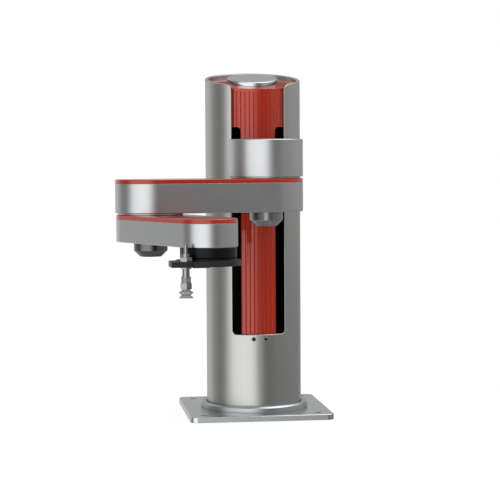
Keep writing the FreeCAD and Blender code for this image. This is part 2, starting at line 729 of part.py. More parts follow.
def ball_nut():
    low = DRUM_BOTTOM_Z
    flange = cylinder((0, 0), NUT_FLANGE_R, low - NUT_FLANGE_THICK, low)
    body = cylinder((0, 0), NUT_R, low, low + NUT_LENGTH)
    nut = flange.fuse(body).cut(cylinder((0, 0), SCREW_R + NUT_CLEAR, low - 10, low + NUT_LENGTH + 5))
    for place in nut_screw_places():
        nut = nut.cut(cylinder(place, 1.6, low - NUT_FLANGE_THICK - 1, low + 1))
    return nut.removeSplitter()


def carriage_arm(side):
    """Plate that passes through the slot beside the fluted strip and carries the drum."""
    low, high = DRUM_BOTTOM_Z, DRUM_TOP_Z
    near = side * ARM_PLATE_X
    far = side * (ARM_PLATE_X + ARM_PLATE_THICK)
    z0, z1 = low + ARM_PLATE_MARGIN, high - ARM_PLATE_MARGIN
    plate = box(*sorted((near, far)), J1_AT[1], CARRIAGE_FRONT_Y, z0, z1)
    x0, x1 = sorted((near, far))
    window = box(x0 - 1, x1 + 1, -COLUMN_R - 16, CARRIAGE_FRONT_Y - 12, z0 + 12, z1 - 12)
    window = window.makeFillet(6, edges_where(window, lambda e: e.BoundBox.XLength > 5))
    plate = plate.cut(window).cut(cylinder(J1_AT, DRUM_R + 0.1, z0 - 1, z1 + 1))
    for hole in arm_bolts(SCREW_HOLE_CLEAR):
        plate = plate.cut(hole)
    return plate


def arm_bolts(grow=0.0):
    """Socket screws from inside the drum wall into the ends of the two carriage arms."""
    mid = (DRUM_BOTTOM_Z + DRUM_TOP_Z) / 2
    bolts = []
    for side in (-1, 1):
        x = side * (ARM_PLATE_X + ARM_PLATE_THICK / 2)
        seat_y = J1_AT[1] + math.sqrt((DRUM_R - DRUM_WALL) ** 2 - (abs(x) + ARM_BOLT_HEAD_R) ** 2)
        for z in (mid - ARM_BOLT_SPACING / 2, mid + ARM_BOLT_SPACING / 2):
            head_y = seat_y - ARM_BOLT_HEAD_H
            head = Part.makeCylinder(ARM_BOLT_HEAD_R + grow, ARM_BOLT_HEAD_H, vec(x, head_y, z), vec(0, 1, 0))
            length = ARM_BOLT_LENGTH + grow
            shank = Part.makeCylinder(ARM_BOLT_R + grow, length, vec(x, seat_y, z), vec(0, 1, 0))
            bolts.append(head.fuse(shank))
    return bolts


def drum_housing():
    outer = cylinder(J1_AT, DRUM_R, DRUM_BOTTOM_Z, DRUM_TOP_Z)
    outer = outer.makeChamfer(DRUM_BEVEL, edges_where(outer, level_at(DRUM_TOP_Z)))
    outer = outer.makeChamfer(DRUM_BEVEL / 2, edges_where(outer, level_at(DRUM_BOTTOM_Z)))
    inside = cylinder(J1_AT, DRUM_R - DRUM_WALL, DRUM_BOTTOM_Z + DRUM_WALL, DRUM_TOP_Z - DRUM_WALL)
    shell = outer.cut(inside)
    for hole in arm_bolts(SCREW_HOLE_CLEAR):
        shell = shell.cut(hole)
    return shell.cut(bearing_hole(J1_AT, DRUM_BOTTOM_Z))


def bearing_hole(at, floor_z):
    """The hole that a joint bearing sits in, through a floor one wall thick."""
    return cylinder(at, JOINT_BEARING_R + PRESS_GAP, floor_z - 1, floor_z + ARM_WALL + 1)


def joint_bearing(at, z0, z1):
    return ring(at, JOINT_BEARING_R, SHAFT_R + RUN_CLEAR, z0, z1)


def joint_drive(at, z0, z1):
    """Hollow motor and reducer that turn the shaft standing in its bore."""
    body = cylinder(at, DRIVE_R, z0, z1)
    body = body.makeChamfer(1.5, edges_where(body, level_at(z1)))
    for place in bolt_circle(at, DRIVE_R - 4, 8, 22.5):
        body = body.cut(cylinder(place, 1.6, z1 - 3, z1 + 1))
    return body.cut(cylinder(at, SHAFT_R + DRIVE_GAP, z0 - 1, z1 - 3))


def joint_shaft(at, floor_z, top_z):
    shaft = cylinder(at, SHAFT_R, floor_z, top_z)
    shaft = shaft.fuse(cylinder(at, SHAFT_FLANGE_R, floor_z, floor_z + SHAFT_FLANGE_H))
    for place in bolt_circle(at, (SHAFT_R + SHAFT_FLANGE_R) / 2, 6, 0):
        shaft = shaft.cut(cylinder(place, 1.7, floor_z - 1, floor_z + SHAFT_FLANGE_H + 1))
    return shaft.cut(cylinder(at, SHAFT_BORE_R, floor_z - 1, top_z + 1))


def joint_boss(at, arm_bottom_z):
    """Dark cap under an arm's joint, cut back at an angle towards its lower face."""
    bottom = arm_bottom_z - BOSS_HEIGHT
    outline = [(0, bottom), (BOSS_R - BOSS_CHAMFER, bottom), (BOSS_R, bottom + BOSS_CHAMFER),
               (BOSS_R, arm_bottom_z - BOSS_EDGE), (BOSS_R - BOSS_EDGE, arm_bottom_z), (0, arm_bottom_z)]
    hollow_r = BOSS_R - 5
    cap = revolve(outline, at)
    return cap.cut(cylinder(at, hollow_r - BOSS_CHAMFER / 2, bottom + 4, arm_bottom_z + 1))


# Arms
def arm_housing(root_r, tip_r, length, z0, height, at, angle_deg):
    """Open-topped arm body with an even wall and a floor."""
    z1 = z0 + height
    body = arm_prism(root_r, tip_r, length, z0, z1, at, angle_deg)
    body = body.makeFillet(ARM_EDGE_R, edges_where(body, level_at(z0)))
    inside = arm_prism(root_r - ARM_WALL, tip_r - ARM_WALL, length, z0 + ARM_WALL, z1 + 1, at, angle_deg)
    return body.cut(inside)


def arm_cover(root_r, tip_r, length, z0, height, at, angle_deg):
    """Red lid with a rib that drops just inside the arm's wall."""
    lid = arm_prism(root_r, tip_r, length, z0, z0 + height, at, angle_deg)
    lid = lid.makeFillet(ARM_EDGE_R, edges_where(lid, level_at(z0 + height)))
    inset = ARM_WALL + COVER_RIB_GAP
    rib = arm_prism(root_r - inset, tip_r - inset, length, z0 - COVER_RIB, z0, at, angle_deg)
    inset += COVER_RIB
    rib = rib.cut(arm_prism(root_r - inset, tip_r - inset, length, z0 - COVER_RIB - 1, z0, at, angle_deg))
    return lid.fuse(rib)


def upper_arm_housing():
    body = arm_housing(DRUM_R, UPPER_TIP_R, UPPER_LENGTH, UPPER_BOTTOM_Z, UPPER_BODY_H,
                       J1_AT, UPPER_ANGLE)
    return body.cut(bearing_hole(J2_AT, UPPER_BOTTOM_Z))


def upper_arm_cover():
    lid = arm_cover(DRUM_R, UPPER_TIP_R, UPPER_LENGTH, UPPER_COVER_Z, UPPER_COVER_H,
                    J1_AT, UPPER_ANGLE)
    return lid.cut(cylinder(J1_AT, SHAFT_R + 0.2, UPPER_COVER_Z - 5, UPPER_TOP_Z + 1))


def wrist_hole_r():
    return SPINDLE_R + 2.0


def forearm_housing():
    body = arm_housing(ELBOW_R, FORE_TIP_R, FORE_LENGTH, FORE_BOTTOM_Z, FORE_BODY_H,
                       J2_AT, FORE_ANGLE)
    return body.cut(cylinder(J3_AT, wrist_hole_r(), FORE_BOTTOM_Z - 1, FORE_BOTTOM_Z + ARM_WALL + 1))


def forearm_cover():
    lid = arm_cover(ELBOW_R, FORE_TIP_R, FORE_LENGTH, FORE_COVER_Z, FORE_COVER_H,
                    J2_AT, FORE_ANGLE)
    return lid.cut(cylinder(J2_AT, SHAFT_R + 0.2, FORE_COVER_Z - 5, FORE_TOP_Z + 1))


# Wrist
def wrist_body():
    body = cylinder(J3_AT, WRIST_BODY_R, WRIST_BODY_BOTTOM_Z, FORE_BOTTOM_Z)
    body = body.makeChamfer(0.6, edges_where(body, level_at(WRIST_BODY_BOTTOM_Z)))
    seat_top = FORE_BOTTOM_Z - 3
    body = body.cut(cylinder(J3_AT, WRIST_BODY_R - 8, WRIST_BODY_BOTTOM_Z - 1, WRIST_BODY_BOTTOM_Z + 2))
    return body.cut(cylinder(J3_AT, wrist_hole_r() + 5, WRIST_BODY_BOTTOM_Z, seat_top)).cut(
        cylinder(J3_AT, wrist_hole_r(), seat_top - 1, FORE_BOTTOM_Z + 1))


def wrist_bearing():
    z0, z1 = WRIST_BODY_BOTTOM_Z + 2.5, FORE_BOTTOM_Z - 3
    return ring(J3_AT, wrist_hole_r() + 5 - PRESS_GAP, SPINDLE_R + RUN_CLEAR, z0, z1)


def output_flange():
    top = FLANGE_TOP_Z
    flange = cylinder(J3_AT, WRIST_BODY_R, FLANGE_BOTTOM_Z, top)
    for place in bolt_circle(J3_AT, BRACKET_SCREW_PCD_R, 4):
        flange = flange.cut(cylinder(place, 2.0, FLANGE_BOTTOM_Z - 1, top + 1))
    return flange.cut(cylinder(J3_AT, SPINDLE_R, FLANGE_BOTTOM_Z - 1, top + 1))


def wrist_spindle():
    top = FORE_COVER_Z - 1.5
    spindle = cylinder(J3_AT, SPINDLE_R, FLANGE_BOTTOM_Z, top)
    return spindle.cut(cylinder(J3_AT, SPINDLE_BORE_R, FLANGE_BOTTOM_Z - 1, top + 1))


def toothed_pulley(at, radius, teeth, bore_r, z0):
    """Pulley with shallow round-bottomed tooth gaps and a thin rim at each end."""
    wheel = cylinder(at, radius, z0, z0 + PULLEY_HEIGHT)
    gap_r = math.pi * radius / teeth * 0.45
    gaps = []
    for place in bolt_circle(at, radius, teeth, 0):
        gaps.append(cylinder(place, gap_r, z0 + 1, z0 + PULLEY_HEIGHT - 1))
    wheel = wheel.cut(Part.makeCompound(gaps))
    return wheel.cut(cylinder(at, bore_r, z0 - 1, z0 + PULLEY_HEIGHT + 1))


def wrist_pulley():
    return toothed_pulley(J3_AT, WRIST_PULLEY_R, PULLEY_TEETH_WRIST, SPINDLE_R, PULLEY_Z)


def motor_pulley():
    pulley = toothed_pulley(MOTOR_PULLEY_AT, MOTOR_PULLEY_R, PULLEY_TEETH_MOTOR, MOTOR_SHAFT_R, PULLEY_Z)
    motor_top = FORE_BOTTOM_Z + ARM_WALL + WRIST_MOTOR_H
    shaft = cylinder(MOTOR_PULLEY_AT, MOTOR_SHAFT_R, motor_top - 6, PULLEY_Z + PULLEY_HEIGHT)
    return pulley.fuse(shaft)


def wrist_belt():
    mid = PULLEY_Z + PULLEY_HEIGHT / 2
    z0, z1 = mid - BELT_HEIGHT / 2, mid + BELT_HEIGHT / 2
    inner = (WRIST_PULLEY_R + BELT_GAP, MOTOR_PULLEY_R + BELT_GAP)
    outer = (inner[0] + BELT_THICK, inner[1] + BELT_THICK)
    heading = FORE_ANGLE + 180
    band = arm_prism(outer[0], outer[1], WRIST_MOTOR_BACK, z0, z1, J3_AT, heading)
    return band.cut(arm_prism(inner[0], inner[1], WRIST_MOTOR_BACK, z0 - 1, z1 + 1, J3_AT, heading))


def wrist_motor():
    z0 = FORE_BOTTOM_Z + ARM_WALL
    z1 = z0 + WRIST_MOTOR_H
    body = cylinder(MOTOR_PULLEY_AT, WRIST_MOTOR_R, z0, z1)
    body = body.makeChamfer(1.0, edges_where(body, level_at(z1)))
    return body.cut(cylinder(MOTOR_PULLEY_AT, MOTOR_SHAFT_R + RUN_CLEAR, z1 - 7, z1 + 1))


def turned_to_bracket(shape):
    shape.rotate(vec(0, 0, 0), vec(0, 0, 1), BRACKET_ANGLE)
    shape.translate(vec(J3_AT[0], J3_AT[1], 0))
    return shape


def tool_bracket():
    """Round flange plate with a stepped tongue; the left step holds the suction rod."""
    z0, z1 = BRACKET_BOTTOM_Z, FLANGE_BOTTOM_Z
    disc = cylinder((0, 0), BRACKET_DISC_R, z0, z1)
    disc = disc.makeChamfer(0.5, end_edges(disc, z0, z1))
    left, right = -BRACKET_LEFT, -BRACKET_RIGHT
    left_front = ROD_FORWARD + ROD_TO_EDGE
    points = [(left, -8.0), (left, -left_front), (-BRACKET_STEP_X, -left_front),
              (-BRACKET_STEP_X, -BRACKET_RIGHT_FRONT), (right - BRACKET_CORNER, -BRACKET_RIGHT_FRONT),
              (right, -BRACKET_RIGHT_FRONT + BRACKET_CORNER), (right, 0.0), (-BRACKET_STEP_X, 6.0)]
    bracket = disc.fuse(extrude(points, z0, z1))
    bracket = bracket.cut(cylinder((-ROD_SIDE, -ROD_FORWARD), SLEEVE_R + 0.1, z0 - 1, z1 + 1))
    for place in BRACKET_HOLES:
        bracket = bracket.cut(cylinder(place, BRACKET_HOLE_R, z0 - 1, z1 + 1))
    bracket = bracket.cut(cylinder((0, 0), SPINDLE_BORE_R + 2, z0 - 1, z1 + 1))
    for place in bolt_circle((0, 0), BRACKET_SCREW_PCD_R, 4, 45 - BRACKET_ANGLE):
        bracket = bracket.cut(cylinder(place, 2.1, z0 - 1, z1 + 1))
        bracket = bracket.cut(cylinder(place, 3.7, z0 - 1, z0 + 3.5))
    return turned_to_bracket(bracket.removeSplitter())


def bracket_screws():
    z0 = BRACKET_BOTTOM_Z
    screws = []
    for place in bolt_circle(J3_AT, BRACKET_SCREW_PCD_R, 4):
        head = cylinder(place, 3.5, z0 + 0.3, z0 + 3.5)
        shank = cylinder(place, 1.9, z0 + 3.5, FLANGE_TOP_Z - 0.3)
        screws.append(head.fuse(shank).cut(hexagon(place, 3.0, z0, z0 + 2.0)))
    return screws


# Suction rod
def rod_sleeve():
    return ring(ROD_AT, SLEEVE_R, TUBE_R + SLEEVE_BORE_CLEAR, SLEEVE_BOTTOM_Z, COLLAR_Z)


def lock_nut(flats, z0, z1):
    nut = hexagon(ROD_AT, flats, z0, z1, HEX_TURN_DEG)
    bevel_r = flats / math.sqrt(3)
    rounder = cylinder(ROD_AT, bevel_r, z0, z1)
    rounder = rounder.makeChamfer(0.5, end_edges(rounder, z0, z1))
    return nut.common(rounder).cut(cylinder(ROD_AT, SLEEVE_R, z0 - 1, z1 + 1))


def upper_lock_nut():
    return lock_nut(UPPER_NUT_FLATS, FLANGE_BOTTOM_Z, COLLAR_Z)


def lower_lock_nut():
    return lock_nut(LOWER_NUT_FLATS, BRACKET_BOTTOM_Z - LOWER_NUT_HEIGHT, BRACKET_BOTTOM_Z)


def suction_rod():
    tube = cylinder(ROD_AT, TUBE_R, CUP_TOP_Z, TUBE_TOP_Z)
    return tube.cut(cylinder(ROD_AT, TUBE_BORE_R, CUP_TOP_Z - 1, TUBE_TOP_Z + 1))


def rod_collar():
    return ring(ROD_AT, COLLAR_R, TUBE_R, COLLAR_Z + RUN_CLEAR, COLLAR_Z + COLLAR_HEIGHT)


def knurled_sleeve():
    z0, z1 = HEX_TOP_Z, KNURL_TOP_Z
    sleeve = cylinder(ROD_AT, KNURL_R, z0, z1)
    grooves = []
    for place in bolt_circle(ROD_AT, KNURL_R + 0.2, KNURL_RIDGES, 0):
        grooves.append(cylinder(place, KNURL_DEPTH + 0.2, z0 + 1.0, z1 - 1.0))
    sleeve = sleeve.cut(Part.makeCompound(grooves))
    return sleeve.cut(cylinder(ROD_AT, SLEEVE_R + KNURL_BORE_CLEAR, z0 - 1, z1 + 1))


def rod_hex():
    z0, z1 = CUP_TOP_Z, HEX_TOP_Z
    body = hexagon(ROD_AT, HEX_FLATS, z0, z1, HEX_TURN_DEG)
    rounder = cylinder(ROD_AT, HEX_FLATS / math.sqrt(3), z0, z1)
    rounder = rounder.makeChamfer(HEX_CHAMFER, end_edges(rounder, z0, z1))
    return body.common(rounder).cut(cylinder(ROD_AT, TUBE_R, z0 - 1, z1 + 1))


def buffer_spring():
    """Compression spring round the tube, between the fixed sleeve and the moving hexagon."""
    z0 = HEX_TOP_Z + SPRING_WIRE_R + 0.05
    z1 = SLEEVE_BOTTOM_Z - SPRING_WIRE_R - 0.05
    mean_r = TUBE_R + SPRING_WIRE_R + SPRING_CLEAR
    path = Part.makeHelix((z1 - z0) / SPRING_TURNS, z1 - z0, mean_r)
    start = Part.makeCircle(SPRING_WIRE_R, vec(mean_r, 0, 0), vec(0, 1, 0))
    coil = Part.Wire(path).makePipeShell([Part.Wire([start])], True, True)
    coil.translate(vec(ROD_AT[0], ROD_AT[1], z0))
    return coil


def suction_cup():
    """Two-and-a-half fold bellows: neck, upper fold, waist and a flared lip, hollow inside."""
    top = CUP_TOP_Z
    neck = top - CUP_NECK_HEIGHT
    fold = neck - CUP_STEP_H
    waist = fold - CUP_WAIST_DROP
    lip = waist - CUP_LIP_DROP
    edge = 0.4
    outside = [(CUP_NECK_R, top), (CUP_NECK_R, neck), (CUP_R, fold + edge), (CUP_R, fold - edge / 2),
               (CUP_WAIST_R, waist), (CUP_R, lip + edge), (CUP_R, lip)]
    inside = [(CUP_R - CUP_WALL, lip), (CUP_WAIST_R - CUP_WALL, waist), (CUP_R - 1.5 * CUP_WALL, fold),
              (TUBE_BORE_R, neck - edge), (TUBE_BORE_R, top)]
    return revolve(outside + inside, ROD_AT)


def groups():
    """Every node of the model with its shape, or with its list of separate solids."""
    fore_floor = FORE_BOTTOM_Z + ARM_WALL
    upper_floor = UPPER_BOTTOM_Z + ARM_WALL
    drum_floor = DRUM_BOTTOM_Z + DRUM_WALL
    nodes = {
        "base_plate": base_plate(),
        "base_screws": base_screws(),
        "foot_ring": foot_ring(),
        "column_floor": column_floor(),
        "column_shell": column_shell(),
        "front_screws": front_screws(),
        "column_cover": column_cover(),
        "cap_disc": cap_disc(),
        "mast": mast(),
        "lower_bearing_block": bearing_block(LOWER_BLOCK_Z),
        "upper_bearing_block": bearing_block(UPPER_BLOCK_Z),
        "screw_bearings": screw_bearings(),
        "z_motor": z_motor(),
        "guide_rail_left": guide_rail(-1),
        "guide_rail_right": guide_rail(1),
        "controller_board": controller_board(),
        "board_standoffs": board_standoffs(),
        "power_socket": rear_socket(*socket_places()[0]),
        "signal_socket": rear_socket(*socket_places()[1]),
        "ball_screw": ball_screw(),
        "shaft_coupling": shaft_coupling(),
        "carriage_block": carriage_block(),
        "ball_nut": ball_nut(),
        "rail_block_left": rail_block(-1),
        "rail_block_right": rail_block(1),
        "carriage_arm_left": carriage_arm(-1),
        "carriage_arm_right": carriage_arm(1),
        "arm_bolts": arm_bolts(),
        "drum_housing": drum_housing(),
        "shoulder_bearing": joint_bearing(J1_AT, DRUM_BOTTOM_Z + BEARING_SET_BACK, drum_floor),
        "shoulder_drive": joint_drive(J1_AT, drum_floor, drum_floor + DRIVE_HEIGHT_J1),
        "upper_arm_housing": upper_arm_housing(),
        "upper_arm_cover": upper_arm_cover(),
        "shoulder_shaft": joint_shaft(J1_AT, upper_floor, drum_floor + DRIVE_HEIGHT_J1 - SHAFT_END_GAP),
        "shoulder_boss": joint_boss(J1_AT, UPPER_BOTTOM_Z),
        "elbow_bearing": joint_bearing(J2_AT, UPPER_BOTTOM_Z + BEARING_SET_BACK, upper_floor),
        "elbow_drive": joint_drive(J2_AT, upper_floor, upper_floor + DRIVE_HEIGHT_J2),
        "forearm_housing": forearm_housing(),
        "forearm_cover": forearm_cover(),
        "elbow_shaft": joint_shaft(J2_AT, fore_floor, upper_floor + DRIVE_HEIGHT_J2 - SHAFT_END_GAP),
        "elbow_boss": joint_boss(J2_AT, FORE_BOTTOM_Z),
        "wrist_motor": wrist_motor(),
        "wrist_belt": wrist_belt(),
        "wrist_body": wrist_body(),
        "wrist_bearing": wrist_bearing(),
        "motor_pulley": motor_pulley(),
        "wrist_pulley": wrist_pulley(),
        "wrist_spindle": wrist_spindle(),
        "output_flange": output_flange(),
        "tool_bracket": tool_bracket(),
        "bracket_screws": bracket_screws(),
        "rod_sleeve": rod_sleeve(),
        "upper_lock_nut": upper_lock_nut(),
        "lower_lock_nut": lower_lock_nut(),
        "suction_rod": suction_rod(),
        "rod_collar": rod_collar(),
        "knurled_sleeve": knurled_sleeve(),
        "rod_hex": rod_hex(),
        "buffer_spring": buffer_spring(),
        "suction_cup": suction_cup(),
    }
    return nodes


def main():
    os.makedirs("parts", exist_ok=True)
    for name, shape in groups().items():
        if isinstance(shape, list):
            shape = Part.makeCompound(shape)
        shape.exportStep("parts/" + name + ".step")


main()
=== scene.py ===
"""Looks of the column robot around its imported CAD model.

Lengths are in metres. X runs to the right, -Y to the front and Z up.
"""

import json
import math

import bmesh
import bpy
from mathutils import Matrix, Vector


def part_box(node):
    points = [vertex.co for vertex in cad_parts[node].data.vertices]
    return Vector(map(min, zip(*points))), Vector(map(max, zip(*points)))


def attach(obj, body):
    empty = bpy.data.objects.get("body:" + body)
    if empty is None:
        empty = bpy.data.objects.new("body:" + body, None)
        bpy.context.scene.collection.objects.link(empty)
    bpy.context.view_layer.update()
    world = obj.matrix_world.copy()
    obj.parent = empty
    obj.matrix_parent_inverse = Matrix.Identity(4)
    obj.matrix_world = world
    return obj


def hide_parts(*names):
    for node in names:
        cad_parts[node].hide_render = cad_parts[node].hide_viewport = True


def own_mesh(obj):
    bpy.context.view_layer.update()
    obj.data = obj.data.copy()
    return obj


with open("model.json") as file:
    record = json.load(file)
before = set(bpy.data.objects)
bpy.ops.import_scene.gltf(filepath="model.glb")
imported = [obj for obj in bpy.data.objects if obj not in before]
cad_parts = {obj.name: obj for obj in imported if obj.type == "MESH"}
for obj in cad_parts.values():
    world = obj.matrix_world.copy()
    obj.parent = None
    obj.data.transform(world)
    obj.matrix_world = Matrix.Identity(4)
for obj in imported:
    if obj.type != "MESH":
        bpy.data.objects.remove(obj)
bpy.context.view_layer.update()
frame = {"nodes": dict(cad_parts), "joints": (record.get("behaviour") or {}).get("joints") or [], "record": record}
nodes = frame["nodes"]
slot_of = {s["node"]: s["material_slot"] for s in frame["record"]["subparts"]}
bodies = frame["record"]["behaviour"]["bodies"]
body_of = {node: body for body, members in bodies.items() for node in members}
scene = bpy.context.scene
scene.view_settings.view_transform = "Standard"

# Camera, fitted to the photograph's edges
SENSOR_MM = 36.0
FOCAL_PX = 1671.0
IMAGE_PX = 500.0
CAMERA_AZIMUTH = math.radians(7.34)
CAMERA_DISTANCE = 2.3809
CAMERA_HEIGHT = 0.36736
PITCH_DOWN = math.radians(3.28)
ROLL = math.radians(-0.31)
PAN = math.radians(-0.11)
CLIP_START = 0.05
CLIP_END = 50.0
# Level directions from the camera to the column and to the camera's right, and upwards
AHEAD = Vector((math.sin(CAMERA_AZIMUTH), math.cos(CAMERA_AZIMUTH), 0))
ASIDE = Vector((math.cos(CAMERA_AZIMUTH), -math.sin(CAMERA_AZIMUTH), 0))
UP = Vector((0, 0, 1))


def swung(first, second, angle):
    """Two unit vectors at right angles, turned in their plane from the first towards the second."""
    cos, sin = math.cos(angle), math.sin(angle)
    return first * cos + second * sin, second * cos - first * sin


def add_camera():
    ahead, aside = swung(AHEAD, ASIDE, PAN)
    up, ahead = swung(UP, ahead, PITCH_DOWN)
    aside, up = swung(aside, up, ROLL)
    data = bpy.data.cameras.new("camera")
    data.sensor_fit = "HORIZONTAL"
    data.sensor_width = SENSOR_MM
    data.lens = FOCAL_PX / IMAGE_PX * SENSOR_MM
    data.clip_start = CLIP_START
    data.clip_end = CLIP_END
    camera = bpy.data.objects.new("camera", data)
    scene.collection.objects.link(camera)
    place = UP * CAMERA_HEIGHT - AHEAD * CAMERA_DISTANCE
    turn = Matrix((aside, up, -ahead)).transposed().to_4x4()
    camera.matrix_world = Matrix.Translation(place) @ turn
    scene.camera = camera


add_camera()


class Tree:
    """Adds shader nodes to an emptied node tree and links them.

    A value is a number, a tuple or another node's socket.
    """

    def __init__(self, tree):
        self.tree = tree
        tree.nodes.clear()

    def add(self, kind, values=None, **props):
        node = self.tree.nodes.new(kind)
        for key, value in props.items():
            setattr(node, key, value)
        for key, value in (values or {}).items():
            if isinstance(value, bpy.types.NodeSocket):
                self.tree.links.new(value, node.inputs[key])
            else:
                node.inputs[key].default_value = value
        return node

    def math(self, operation, a, b=0.0):
        return self.add("ShaderNodeMath", {0: a, 1: b}, operation=operation).outputs[0]

    def plus(self, a, b):
        return self.math("ADD", a, b)

    def times(self, a, b):
        return self.math("MULTIPLY", a, b)

    def distance(self, a, b):
        """Length of the hypotenuse over two sides."""
        return self.math("SQRT", self.plus(self.times(a, a), self.times(b, b)))

    def axes(self, coord):
        return self.add("ShaderNodeSeparateXYZ", {0: coord}).outputs

    def ramp(self, value, low, high, to_low=0.0, to_high=1.0, smooth=True):
        kind = "SMOOTHSTEP" if smooth else "LINEAR"
        values = {"Value": value, "From Min": low, "From Max": high, "To Min": to_low, "To Max": to_high}
        return self.add("ShaderNodeMapRange", values, interpolation_type=kind).outputs["Result"]

    def mix(self, factor, a, b):
        mixed = self.add("ShaderNodeMix", {"Factor": factor, "A": a, "B": b}, data_type="FLOAT")
        return mixed.outputs["Result"]

    def mix_colors(self, factor, a, b):
        mixed = self.add("ShaderNodeMix", {"Factor": factor, "A": a, "B": b}, data_type="RGBA")
        return [s for s in mixed.outputs if s.type == "RGBA"][0]

    def scaled(self, tint, level):
        return self.add("ShaderNodeVectorMath", {0: tint, "Scale": level}, operation="SCALE").outputs[0]


def new_material(name):
    material = bpy.data.materials.new(name)
    material.use_nodes = True
    return material, Tree(material.node_tree)


def grey(level):
    return (level, level, level, 1)


# Studio: stops of its brightness round the object, each with its degrees from the camera's side
STUDIO = ((-180, 0.62), (-156, 0.8), (-132, 1.0), (-108, 0.5), (-84, 0.28), (-71, 0.5), (-57, 1.75),
          (-24, 2.0), (-2, 1.95), (12, 0.9), (21, 0.25), (38, 0.32), (54, 0.6), (66, 0.62), (80, 0.62),
          (104, 0.72), (128, 0.68), (150, 0.5), (168, 0.6), (180, 0.62))
HALF_TURN_DEG = 180
# Brightness overhead, from the camera's left to its right, and the rise between which it takes over
CEILING_LEFT = 0.45
CEILING_RIGHT = 3.0
CEILING_SPREAD = 0.45
CEILING_FROM_DEG = 28
CEILING_FULL_DEG = 62
# Brightness from below, and the rise between which it takes over
BELOW = 0.5
BELOW_FROM_DEG = -24
BELOW_FULL_DEG = -60
# Share of the brightness left just below the horizon on the camera's right, and where it fades in
RIGHT_FOOT = 0.5
FOOT_DEG = -6
FOOT_FROM = 0.2
FOOT_FULL = 0.9
# Brightness of a dark band up behind the object, the rise of its two soft edges, and where it fades in
BACK_BAND = 0.03
BAND_LOW_DEG = (13, 15.5)
BAND_HIGH_DEG = (17.6, 20.4)
BAND_FROM = 0.5
BAND_FULL = 0.8


def rise(degrees):
    """Z of a unit direction that rises by the given degrees."""
    return math.sin(math.radians(degrees))


def make_world():
    world = bpy.data.worlds.new("studio")
    scene.world = world
    world.use_nodes = True
    t = Tree(world.node_tree)
    coord = t.add("ShaderNodeTexCoord").outputs["Generated"]
    xyz = t.axes(coord)
    angle = t.plus(t.math("ARCTAN2", xyz["X"], t.times(xyz["Y"], -1)), CAMERA_AZIMUTH)
    # The turn from -180 to 180 degrees is 0 to 1 along the ramp; the whole turn added keeps it above 0
    turn = t.math("FRACT", t.plus(t.times(angle, 0.5 / math.pi), 0.5 + 1.0))
    ramp = t.add("ShaderNodeValToRGB", {"Fac": turn})
    stops = ramp.color_ramp.elements
    top = max(level for _, level in STUDIO)
    for i, (degrees, level) in enumerate(STUDIO):
        place = (degrees + HALF_TURN_DEG) / (2 * HALF_TURN_DEG)
        stop = stops[i] if i < len(stops) else stops.new(place)
        stop.position = place
        stop.color = grey(level / top)
    ramp.color_ramp.interpolation = "LINEAR"
    around = t.times(ramp.outputs["Color"], top)
    aside = t.math("SUBTRACT", t.times(xyz["X"], math.cos(CAMERA_AZIMUTH)),
                   t.times(xyz["Y"], math.sin(CAMERA_AZIMUTH)))
    behind = t.plus(t.times(xyz["X"], math.sin(CAMERA_AZIMUTH)), t.times(xyz["Y"], math.cos(CAMERA_AZIMUTH)))
    foot = t.times(t.ramp(aside, FOOT_FROM, FOOT_FULL), t.ramp(xyz["Z"], rise(FOOT_DEG), 0, 1.0, 0.0))
    around = t.times(around, t.ramp(foot, 0, 1, 1.0, RIGHT_FOOT, smooth=False))
    over = t.ramp(xyz["Z"], rise(BAND_LOW_DEG[0]), rise(BAND_LOW_DEG[1]))
    under = t.ramp(xyz["Z"], rise(BAND_HIGH_DEG[0]), rise(BAND_HIGH_DEG[1]), 1.0, 0.0)
    band = t.times(t.times(over, under), t.ramp(behind, BAND_FROM, BAND_FULL))
    level = t.mix(band, around, BACK_BAND)
    ceiling = t.ramp(aside, -CEILING_SPREAD, CEILING_SPREAD, CEILING_LEFT, CEILING_RIGHT, smooth=False)
    level = t.mix(t.ramp(xyz["Z"], rise(CEILING_FROM_DEG), rise(CEILING_FULL_DEG)), level, ceiling)
    level = t.mix(t.ramp(xyz["Z"], rise(BELOW_FROM_DEG), rise(BELOW_FULL_DEG)), level, BELOW)
    # The camera itself sees white
    path = t.add("ShaderNodeLightPath")
    level = t.mix(path.outputs["Is Camera Ray"], level, 1.0)
    background = t.add("ShaderNodeBackground", {"Color": grey(1), "Strength": level})
    t.add("ShaderNodeOutputWorld", {"Surface": background.outputs[0]})


FLOOR_HALF = 6.0
FLOOR_DROP = 0.0004
# Grey that lights the object, and the glow and the grey that make white for the camera and take the shadow
FLOOR_MATT = 0.8
FLOOR_GLOW = 0.90
FLOOR_SHADE = 0.10


def make_floor():
    mesh = bpy.data.meshes.new("floor")
    far = FLOOR_HALF
    mesh.from_pydata([(-far, -far, 0), (far, -far, 0), (far, far, 0), (-far, far, 0)], [], [(0, 1, 2, 3)])
    floor = bpy.data.objects.new("floor", mesh)
    scene.collection.objects.link(floor)
    floor.location.z = -FLOOR_DROP
    floor.visible_glossy = False
    material, t = new_material("floor")
    path = t.add("ShaderNodeLightPath")
    matt = t.add("ShaderNodeBsdfDiffuse", {"Color": grey(FLOOR_MATT)})
    shade = t.add("ShaderNodeBsdfDiffuse", {"Color": grey(FLOOR_SHADE)})
    glow = t.add("ShaderNodeEmission", {"Color": grey(1), "Strength": FLOOR_GLOW})
    shown = t.add("ShaderNodeAddShader", {0: shade.outputs[0], 1: glow.outputs[0]})
    mixed = t.add("ShaderNodeMixShader",
                  {0: path.outputs["Is Camera Ray"], 1: matt.outputs[0], 2: shown.outputs[0]})
    t.add("ShaderNodeOutputMaterial", {"Surface": mixed.outputs[0]})
    mesh.materials.append(material)


make_world()
make_floor()

